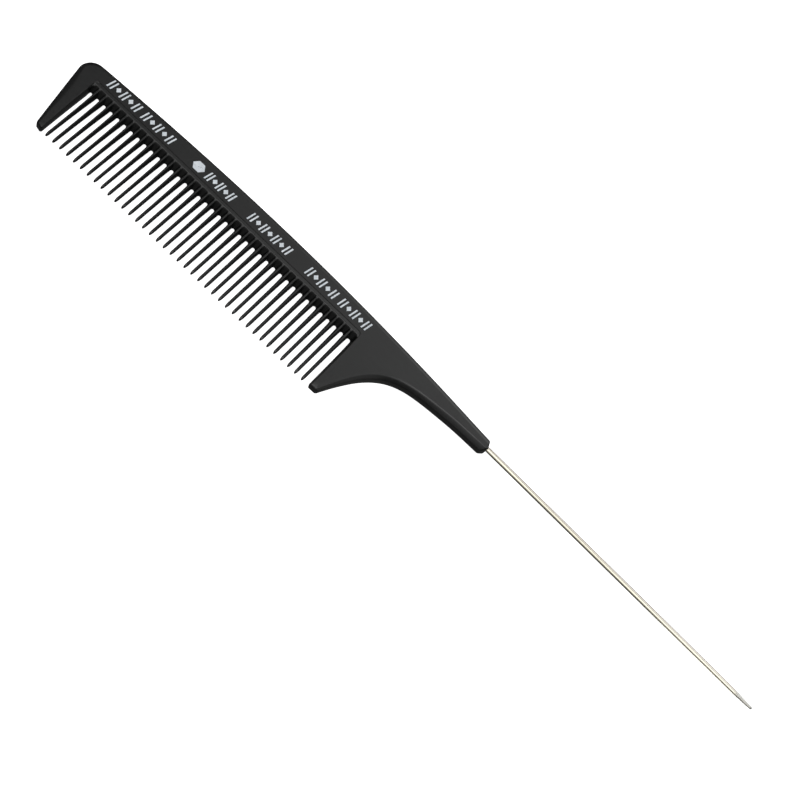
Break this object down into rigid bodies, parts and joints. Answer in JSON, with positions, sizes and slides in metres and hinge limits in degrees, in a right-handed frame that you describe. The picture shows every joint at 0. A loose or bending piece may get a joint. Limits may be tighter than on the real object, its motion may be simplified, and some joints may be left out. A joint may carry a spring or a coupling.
{
  "type": "tail comb",
  "caption": "Rigid tail comb: black moulded body with a spine, one row of fine teeth between two guards and a tapering handle, a straight pointed steel pin as its tail, white marks on one face.",
  "frame": {"origin": "on the tail pin's axis in the plane that touches the end of the handle, on the parting plane half way through the thickness", "axes": "+X along the tail pin towards its tip, +Y from the teeth towards the back of the spine, +Z out of the printed face"},
  "size_m": [0.2341, 0.0275, 0.0042],
  "materials": {
    "comb_body": "satin, finely eroded, carbon filled",
    "tail_pin": "polished along its length",
    "white_print": "thin pad-printed ink, slightly worn"
  },
  "bodies": {
    "root": {"comb_body": "comb_body", "tail_pin": "tail_pin", "print_marks_front": "white_print", "print_emblem": "white_print", "print_marks_mid": "white_print", "print_marks_centre": "white_print", "print_marks_rear": "white_print"}
  },
  "joints": []
}
